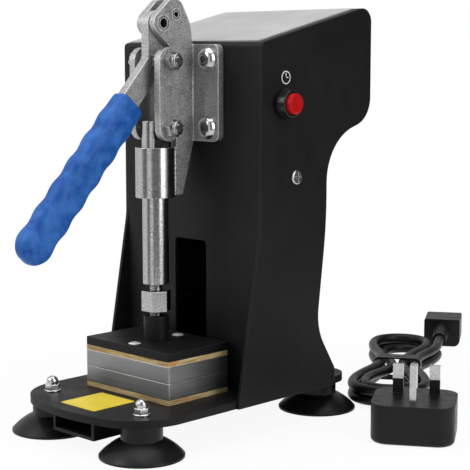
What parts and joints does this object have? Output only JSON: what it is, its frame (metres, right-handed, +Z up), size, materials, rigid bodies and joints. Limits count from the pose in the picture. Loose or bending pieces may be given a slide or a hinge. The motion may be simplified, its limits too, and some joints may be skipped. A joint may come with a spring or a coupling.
{
  "type": "benchtop heat press",
  "caption": "Small bench toggle-clamp press: a long lever drives a plunger that closes one heated plate on another, on a base with suction-cup feet.",
  "frame": {"origin": "centre of the bounding box of the machine (lead left out) at floor level, where the suction cups rest", "axes": "+X to the machine's right (timer side), +Y to the back, +Z up along the plunger"},
  "size_m": [0.2245, 0.4537, 0.2616],
  "materials": {
    "black_paint": "satin black powder coat",
    "grey_panel": "pale grey matt panel",
    "black_rubber": "smooth black rubber",
    "bright_steel": "bright plated steel",
    "dark_steel": "black oxide steel",
    "zinc_steel": "zinc plated steel",
    "plate_aluminium": "milled aluminium",
    "tan_board": "tan heat-resistant board",
    "blue_grip": "smooth blue moulded grip",
    "red_cap": "glossy red moulding",
    "black_plastic": "black moulding",
    "green_board": "green circuit board",
    "brass": "brass contact",
    "cable_black": "smooth black cable sheath"
  },
  "bodies": {
    "press": {"base_plate": "black_paint", "wiring_duct": "black_paint", "foot_front_left": "black_rubber", "foot_front_right": "black_rubber", "foot_rear_left": "black_rubber", "foot_rear_right": "black_rubber", "foot_studs": "bright_steel", "foot_cap_nuts": "bright_steel", "left_side_plate": "black_paint", "right_side_plate": "black_paint", "front_cover": "black_paint", "rear_cover": "black_paint", "top_panel": "grey_panel", "cross_brace": "bright_steel", "side_screws": "bright_steel", "control_board": "green_board", "board_standoffs": "bright_steel", "board_components": "black_plastic", "clamp_screws": "bright_steel", "clamp_nuts": "bright_steel", "clamp_backing_plate": "dark_steel", "lower_insulator": "tan_board", "lower_plate": "plate_aluminium", "lower_screws": "bright_steel", "lower_heating": "bright_steel", "guide_sleeve": "zinc_steel", "clamp_frame_left": "zinc_steel", "clamp_frame_right": "zinc_steel", "pivot_rivet": "zinc_steel", "spacer_rivet": "zinc_steel", "timer_body": "black_plastic", "timer_nut": "bright_steel", "inlet_body": "black_plastic", "inlet_pins": "brass", "inlet_screws": "bright_steel", "switch_frame": "black_plastic", "fuse_holder": "black_plastic", "lead_connector": "cable_black", "lead_hank": "cable_black", "lead_tie": "cable_black", "lead_plug": "cable_black", "lead_pins": "bright_steel"},
    "handle": {"handle_bar": "zinc_steel", "handle_grip": "blue_grip"},
    "links": {"link_left": "zinc_steel", "link_right": "zinc_steel", "link_bolts": "zinc_steel", "link_nuts": "zinc_steel", "link_spacers": "zinc_steel"},
    "plunger": {"plunger_rod": "zinc_steel", "plunger_pin": "zinc_steel"},
    "upper_platen": {"upper_plate": "plate_aluminium", "upper_insulator": "tan_board", "upper_top_plate": "black_paint", "upper_screws": "bright_steel", "upper_heating": "bright_steel", "platen_collar": "black_paint"},
    "pressure_screw": {"pressure_screw": "zinc_steel"},
    "timer_cap": {"timer_cap": "red_cap"},
    "power_rocker": {"power_rocker": "black_plastic"}
  },
  "joints": [
    {"name": "handle_lift", "type": "hinge", "parent": "press", "child": "handle", "pos_m": [-0.00275, -0.01872, 0.2473], "axis": [-1, 0, 0], "range_deg": [0, 110]},
    {"name": "link_swing", "type": "hinge", "parent": "handle", "child": "links", "pos_m": [-0.00275, -0.01872, 0.225], "axis": [1, 0, 0], "range_deg": [0, 141.86]},
    {"name": "plunger_slide", "type": "slide", "parent": "press", "child": "plunger", "axis": [0, 0, 1], "range_m": [0, 0.03591]},
    {"name": "platen_feed", "type": "slide", "parent": "plunger", "child": "upper_platen", "axis": [0, 0, 1], "range_m": [0, 0.00375]},
    {"name": "pressure_screw_turn", "type": "hinge", "parent": "upper_platen", "child": "pressure_screw", "pos_m": [-0.00275, -0.01872, 0.073], "axis": [0, 0, 1], "range_deg": [0, 1080]},
    {"name": "timer_press", "type": "slide", "parent": "press", "child": "timer_cap", "axis": [-1, 0, 0], "range_m": [0, 0.003], "stiffness_N_per_m": 400, "springref_m": -0.001},
    {"name": "power_rock", "type": "hinge", "parent": "press", "child": "power_rocker", "pos_m": [0.01725, 0.11148, 0.224], "axis": [1, 0, 0], "range_deg": [0, 16]}
  ],
  "couplings": [
    {"joint": "link_swing", "follows": "handle_lift", "ratio": 1.2896},
    {"joint": "plunger_slide", "follows": "handle_lift", "m_per_rad": 0.018703},
    {"joint": "pressure_screw_turn", "follows": "platen_feed", "rad_per_m": 5026.5}
  ]
}
